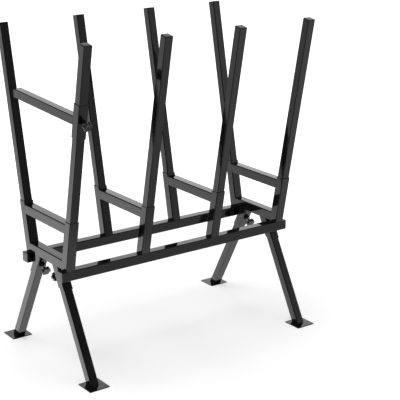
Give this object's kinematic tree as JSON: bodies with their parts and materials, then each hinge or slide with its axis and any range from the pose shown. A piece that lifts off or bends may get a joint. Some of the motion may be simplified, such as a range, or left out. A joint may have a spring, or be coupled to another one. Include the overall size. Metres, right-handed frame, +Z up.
{
  "type": "log saw stand",
  "caption": "Free-standing log saw stand of black square tube: leaning plug-in uprights on a rail frame with splayed pull-out legs, lobed clamp knobs and a sliding clamp arm.",
  "frame": {"origin": "on the floor, under the middle of the stand", "axes": "+X along the rails from the clamp's end, +Y from the front row of uprights (with the clamp's slider) to the rear row, +Z up"},
  "size_m": [0.886, 0.5548, 1.0405],
  "materials": {
    "frame_paint": "glossy black stove paint on the welded frame, slider and foot plates",
    "tube_paint": "glossy black stove paint on the uprights, legs and arm",
    "black_plastic": "moulded black plastic plugs and knob heads",
    "zinc": "bright zinc plated nuts and studs"
  },
  "bodies": {
    "frame": {"front_rail": "frame_paint", "rear_rail": "frame_paint", "rail_end_caps": "black_plastic", "left_cross_tube": "frame_paint", "right_cross_tube": "frame_paint", "crossbar_1": "frame_paint", "crossbar_2": "frame_paint", "crossbar_3": "frame_paint", "crossbar_4": "frame_paint", "front_sleeve_1": "frame_paint", "front_sleeve_2": "frame_paint", "front_sleeve_3": "frame_paint", "front_sleeve_4": "frame_paint", "rear_sleeve_1": "frame_paint", "rear_sleeve_2": "frame_paint", "rear_sleeve_3": "frame_paint", "rear_sleeve_4": "frame_paint", "leg_socket_fl": "frame_paint", "leg_socket_fr": "frame_paint", "leg_socket_rl": "frame_paint", "leg_socket_rr": "frame_paint", "leg_socket_nuts": "zinc"},
    "front_upright_1_body": {"front_upright_1": "tube_paint", "front_cap_1": "black_plastic"},
    "front_upright_2_body": {"front_upright_2": "tube_paint", "front_cap_2": "black_plastic"},
    "front_upright_3_body": {"front_upright_3": "tube_paint", "front_cap_3": "black_plastic"},
    "front_upright_4_body": {"front_upright_4": "tube_paint", "front_cap_4": "black_plastic"},
    "rear_upright_1_body": {"rear_upright_1": "tube_paint", "rear_cap_1": "black_plastic"},
    "rear_upright_2_body": {"rear_upright_2": "tube_paint", "rear_cap_2": "black_plastic"},
    "rear_upright_3_body": {"rear_upright_3": "tube_paint", "rear_cap_3": "black_plastic"},
    "rear_upright_4_body": {"rear_upright_4": "tube_paint", "rear_cap_4": "black_plastic"},
    "leg_fl_body": {"leg_fl": "tube_paint", "foot_plate_fl": "frame_paint"},
    "leg_fr_body": {"leg_fr": "tube_paint", "foot_plate_fr": "frame_paint"},
    "leg_rl_body": {"leg_rl": "tube_paint", "foot_plate_rl": "frame_paint"},
    "leg_rr_body": {"leg_rr": "tube_paint", "foot_plate_rr": "frame_paint"},
    "clamp_body": {"clamp_slider": "frame_paint", "clamp_arm": "tube_paint", "clamp_arm_cap": "black_plastic", "clamp_nut": "zinc"},
    "leg_knob_fl_body": {"leg_knob_fl": "black_plastic", "leg_stud_fl": "zinc"},
    "leg_knob_fr_body": {"leg_knob_fr": "black_plastic", "leg_stud_fr": "zinc"},
    "leg_knob_rl_body": {"leg_knob_rl": "black_plastic", "leg_stud_rl": "zinc"},
    "leg_knob_rr_body": {"leg_knob_rr": "black_plastic", "leg_stud_rr": "zinc"},
    "clamp_knob_body": {"clamp_knob": "black_plastic", "clamp_stud": "zinc"}
  },
  "joints": [
    {"name": "front_upright_1_lift", "type": "slide", "parent": "frame", "child": "front_upright_1_body", "axis": [0, -0.1959, 0.9806], "range_m": [0, 0.166]},
    {"name": "front_upright_2_lift", "type": "slide", "parent": "frame", "child": "front_upright_2_body", "axis": [0, -0.1959, 0.9806], "range_m": [0, 0.166]},
    {"name": "front_upright_3_lift", "type": "slide", "parent": "frame", "child": "front_upright_3_body", "axis": [0, -0.1959, 0.9806], "range_m": [0, 0.166]},
    {"name": "front_upright_4_lift", "type": "slide", "parent": "frame", "child": "front_upright_4_body", "axis": [0, -0.1959, 0.9806], "range_m": [0, 0.166]},
    {"name": "rear_upright_1_lift", "type": "slide", "parent": "frame", "child": "rear_upright_1_body", "axis": [0, 0.1959, 0.9806], "range_m": [0, 0.166]},
    {"name": "rear_upright_2_lift", "type": "slide", "parent": "frame", "child": "rear_upright_2_body", "axis": [0, 0.1959, 0.9806], "range_m": [0, 0.166]},
    {"name": "rear_upright_3_lift", "type": "slide", "parent": "frame", "child": "rear_upright_3_body", "axis": [0, 0.1959, 0.9806], "range_m": [0, 0.166]},
    {"name": "rear_upright_4_lift", "type": "slide", "parent": "frame", "child": "rear_upright_4_body", "axis": [0, 0.1959, 0.9806], "range_m": [0, 0.166]},
    {"name": "leg_fl_pull", "type": "slide", "parent": "frame", "child": "leg_fl_body", "axis": [0, -0.4772, -0.8788], "range_m": [0, 0.078]},
    {"name": "leg_fr_pull", "type": "slide", "parent": "frame", "child": "leg_fr_body", "axis": [0, -0.4772, -0.8788], "range_m": [0, 0.078]},
    {"name": "leg_rl_pull", "type": "slide", "parent": "frame", "child": "leg_rl_body", "axis": [0, 0.4772, -0.8788], "range_m": [0, 0.078]},
    {"name": "leg_rr_pull", "type": "slide", "parent": "frame", "child": "leg_rr_body", "axis": [0, 0.4772, -0.8788], "range_m": [0, 0.078]},
    {"name": "clamp_height", "type": "slide", "parent": "front_upright_1_body", "child": "clamp_body", "axis": [0, -0.1959, 0.9806], "range_m": [-0.045, 0.175]},
    {"name": "leg_knob_fl_turn", "type": "hinge", "parent": "frame", "child": "leg_knob_fl_body", "pos_m": [-0.408, -0.03127, 0.28799], "axis": [0, 0.8788, -0.4772], "continuous": true},
    {"name": "leg_knob_fr_turn", "type": "hinge", "parent": "frame", "child": "leg_knob_fr_body", "pos_m": [0.408, -0.03127, 0.28799], "axis": [0, 0.8788, -0.4772], "continuous": true},
    {"name": "leg_knob_rl_turn", "type": "hinge", "parent": "frame", "child": "leg_knob_rl_body", "pos_m": [-0.408, 0.03127, 0.28799], "axis": [0, -0.8788, -0.4772], "continuous": true},
    {"name": "leg_knob_rr_turn", "type": "hinge", "parent": "frame", "child": "leg_knob_rr_body", "pos_m": [0.408, 0.03127, 0.28799], "axis": [0, -0.8788, -0.4772], "continuous": true},
    {"name": "clamp_knob_turn", "type": "hinge", "parent": "clamp_body", "child": "clamp_knob_body", "pos_m": [-0.408, -0.24553, 0.8035], "axis": [0, -0.9806, -0.1959], "continuous": true}
  ]
}
